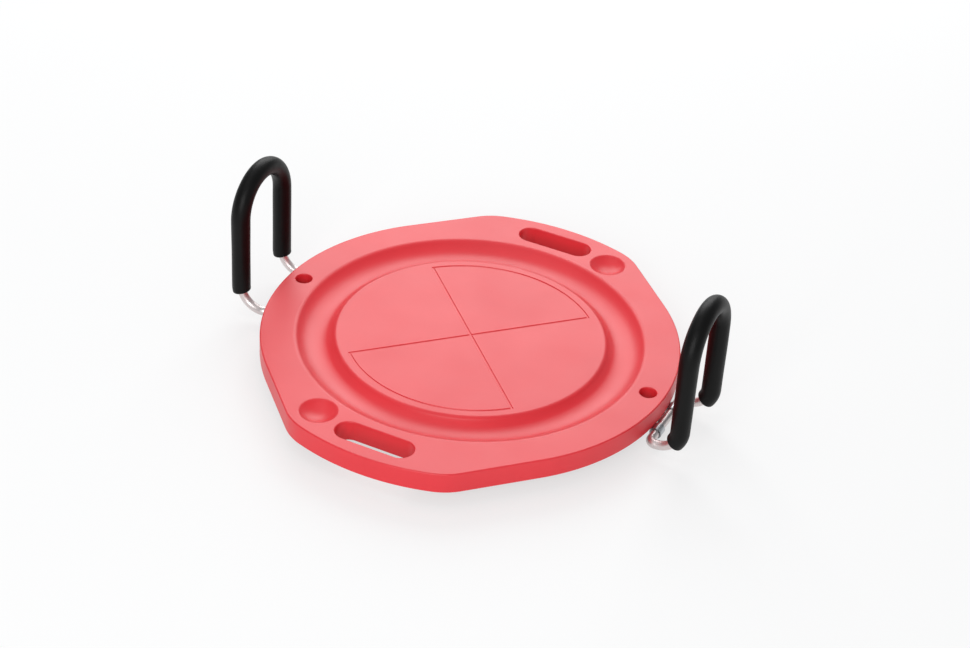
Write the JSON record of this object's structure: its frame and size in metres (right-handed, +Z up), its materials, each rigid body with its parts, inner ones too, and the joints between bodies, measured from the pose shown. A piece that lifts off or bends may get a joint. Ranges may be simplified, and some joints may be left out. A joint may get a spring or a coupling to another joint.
{
  "type": "round training board",
  "caption": "Round moulded training board with hand slots, an engraved aiming face and padded wire handles that fold inward over the deck.",
  "frame": {"origin": "on the floor under the deck's centre, at the level of the feet's lower faces", "axes": "+X from the centre towards the right handle, +Y from the centre towards the rear hand slot, +Z up out of the deck's engraved face"},
  "size_m": [0.599, 0.542, 0.1927],
  "materials": {
    "deck_plastic": "moulded, soft satin gloss",
    "base_plastic": "moulded, fine matte grain",
    "zinc_steel": "zinc plated",
    "clip_steel": "stamped, zinc plated",
    "insert_brass": "turned",
    "rod_steel": "polished plate",
    "foot_rubber": "moulded, matte",
    "sleeve_foam": "closed-cell foam skin"
  },
  "bodies": {
    "board": {"deck": "deck_plastic", "base_plate": "base_plastic", "base_plate_screws": "zinc_steel", "clip_inserts": "insert_brass", "clip_screws": "zinc_steel", "right_front_clip": "clip_steel", "right_rear_clip": "clip_steel", "left_front_clip": "clip_steel", "left_rear_clip": "clip_steel", "foot_1": "foot_rubber", "foot_2": "foot_rubber", "foot_3": "foot_rubber", "foot_4": "foot_rubber", "foot_washers": "zinc_steel", "foot_screws": "zinc_steel"},
    "right_handle": {"right_handle_bar": "rod_steel", "right_stop_lug": "rod_steel", "right_grip_sleeve": "sleeve_foam"},
    "left_handle": {"left_handle_bar": "rod_steel", "left_stop_lug": "rod_steel", "left_grip_sleeve": "sleeve_foam"}
  },
  "joints": [
    {"name": "right_handle_fold", "type": "hinge", "parent": "board", "child": "right_handle", "pos_m": [0.2525, 0, 0.015], "axis": [0, -1, 0], "range_deg": [0, 60]},
    {"name": "left_handle_fold", "type": "hinge", "parent": "board", "child": "left_handle", "pos_m": [-0.2525, 0, 0.015], "axis": [0, 1, 0], "range_deg": [0, 60]}
  ]
}
